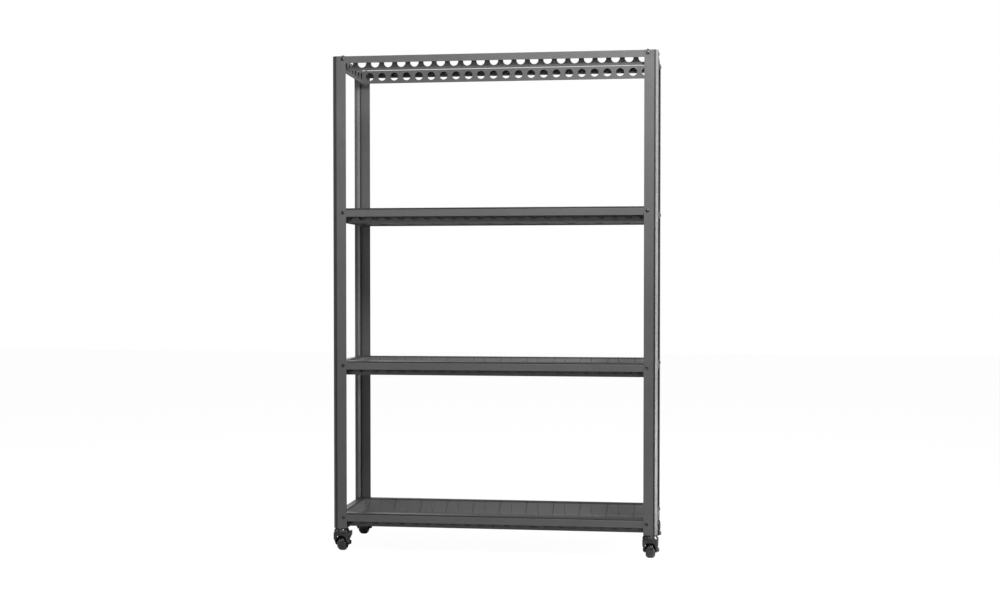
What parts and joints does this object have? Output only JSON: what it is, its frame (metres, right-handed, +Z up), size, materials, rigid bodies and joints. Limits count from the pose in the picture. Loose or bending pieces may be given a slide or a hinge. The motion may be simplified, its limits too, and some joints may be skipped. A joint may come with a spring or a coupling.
{
  "type": "wire shelving rack",
  "caption": "Tall plant rack of L-shaped steel posts, perforated rails and ribbed shelf pans, open at the top and rolling on swivel casters with foot brakes.",
  "frame": {"origin": "on the floor under the centre of the box that holds the whole rack, casters trailing to the rear", "axes": "+Z up along the posts, +X to the right along the long rails, -Y to the front"},
  "size_m": [0.9805, 0.3445, 1.494],
  "materials": {
    "post_coat": "satin powder coat",
    "rail_coat": "satin powder coat",
    "pan_coat": "satin powder coat",
    "black_fasteners": "black oxide",
    "zinc_steel": "zinc plated",
    "caster_black": "gloss black coat",
    "ball_steel": "polished",
    "wheel_plastic": "moulded",
    "tyre": "smooth tread",
    "pedal_black": "gloss black coat"
  },
  "bodies": {
    "frame": {"bearing_balls": "ball_steel", "bearing_caps": "caster_black", "caster_nuts": "zinc_steel", "caster_stems": "zinc_steel", "foot_plates": "post_coat", "front_left_post": "post_coat", "front_right_post": "post_coat", "lower_front_rail": "rail_coat", "lower_left_rail": "rail_coat", "lower_rear_rail": "rail_coat", "lower_right_rail": "rail_coat", "lower_shelf_pan": "pan_coat", "lower_tier_bolts": "black_fasteners", "lower_tier_nuts": "zinc_steel", "middle_front_rail": "rail_coat", "middle_left_rail": "rail_coat", "middle_rear_rail": "rail_coat", "middle_right_rail": "rail_coat", "middle_shelf_pan": "pan_coat", "middle_tier_bolts": "black_fasteners", "middle_tier_nuts": "zinc_steel", "rear_left_post": "post_coat", "rear_right_post": "post_coat", "top_frame_screws": "black_fasteners", "top_front_rail": "rail_coat", "top_left_rail": "rail_coat", "top_rear_rail": "rail_coat", "top_right_rail": "rail_coat", "top_tier_bolts": "black_fasteners", "top_tier_nuts": "zinc_steel", "upper_front_rail": "rail_coat", "upper_left_rail": "rail_coat", "upper_rear_rail": "rail_coat", "upper_right_rail": "rail_coat", "upper_shelf_pan": "pan_coat", "upper_tier_bolts": "black_fasteners", "upper_tier_nuts": "zinc_steel"},
    "front_left_swivel": {"front_left_caster_fork": "caster_black", "front_left_axle": "zinc_steel"},
    "front_left_wheel": {"front_left_wheel_core": "wheel_plastic", "front_left_tyre": "tyre"},
    "front_left_brake": {"front_left_brake_pedal": "pedal_black"},
    "front_right_swivel": {"front_right_caster_fork": "caster_black", "front_right_axle": "zinc_steel"},
    "front_right_wheel": {"front_right_wheel_core": "wheel_plastic", "front_right_tyre": "tyre"},
    "front_right_brake": {"front_right_brake_pedal": "pedal_black"},
    "rear_left_swivel": {"rear_left_caster_fork": "caster_black", "rear_left_axle": "zinc_steel"},
    "rear_left_wheel": {"rear_left_wheel_core": "wheel_plastic", "rear_left_tyre": "tyre"},
    "rear_right_swivel": {"rear_right_caster_fork": "caster_black", "rear_right_axle": "zinc_steel"},
    "rear_right_wheel": {"rear_right_wheel_core": "wheel_plastic", "rear_right_tyre": "tyre"}
  },
  "joints": [
    {"name": "front_left_swivel_turn", "type": "hinge", "parent": "frame", "child": "front_left_swivel", "pos_m": [-0.4655, -0.14875, 0.057], "axis": [0, 0, 1], "continuous": true},
    {"name": "front_left_wheel_spin", "type": "hinge", "parent": "front_left_swivel", "child": "front_left_wheel", "pos_m": [-0.4655, -0.13575, 0.025], "axis": [1, 0, 0], "continuous": true},
    {"name": "front_left_brake_press", "type": "hinge", "parent": "front_left_swivel", "child": "front_left_brake", "pos_m": [-0.4655, -0.11575, 0.051], "axis": [-1, 0, 0], "range_deg": [0, 20]},
    {"name": "front_right_swivel_turn", "type": "hinge", "parent": "frame", "child": "front_right_swivel", "pos_m": [0.4655, -0.14875, 0.057], "axis": [0, 0, 1], "continuous": true},
    {"name": "front_right_wheel_spin", "type": "hinge", "parent": "front_right_swivel", "child": "front_right_wheel", "pos_m": [0.4655, -0.13575, 0.025], "axis": [1, 0, 0], "continuous": true},
    {"name": "front_right_brake_press", "type": "hinge", "parent": "front_right_swivel", "child": "front_right_brake", "pos_m": [0.4655, -0.11575, 0.051], "axis": [-1, 0, 0], "range_deg": [0, 20]},
    {"name": "rear_left_swivel_turn", "type": "hinge", "parent": "frame", "child": "rear_left_swivel", "pos_m": [-0.4655, 0.13425, 0.057], "axis": [0, 0, 1], "continuous": true},
    {"name": "rear_left_wheel_spin", "type": "hinge", "parent": "rear_left_swivel", "child": "rear_left_wheel", "pos_m": [-0.4655, 0.14725, 0.025], "axis": [1, 0, 0], "continuous": true},
    {"name": "rear_right_swivel_turn", "type": "hinge", "parent": "frame", "child": "rear_right_swivel", "pos_m": [0.4655, 0.13425, 0.057], "axis": [0, 0, 1], "continuous": true},
    {"name": "rear_right_wheel_spin", "type": "hinge", "parent": "rear_right_swivel", "child": "rear_right_wheel", "pos_m": [0.4655, 0.14725, 0.025], "axis": [1, 0, 0], "continuous": true}
  ]
}
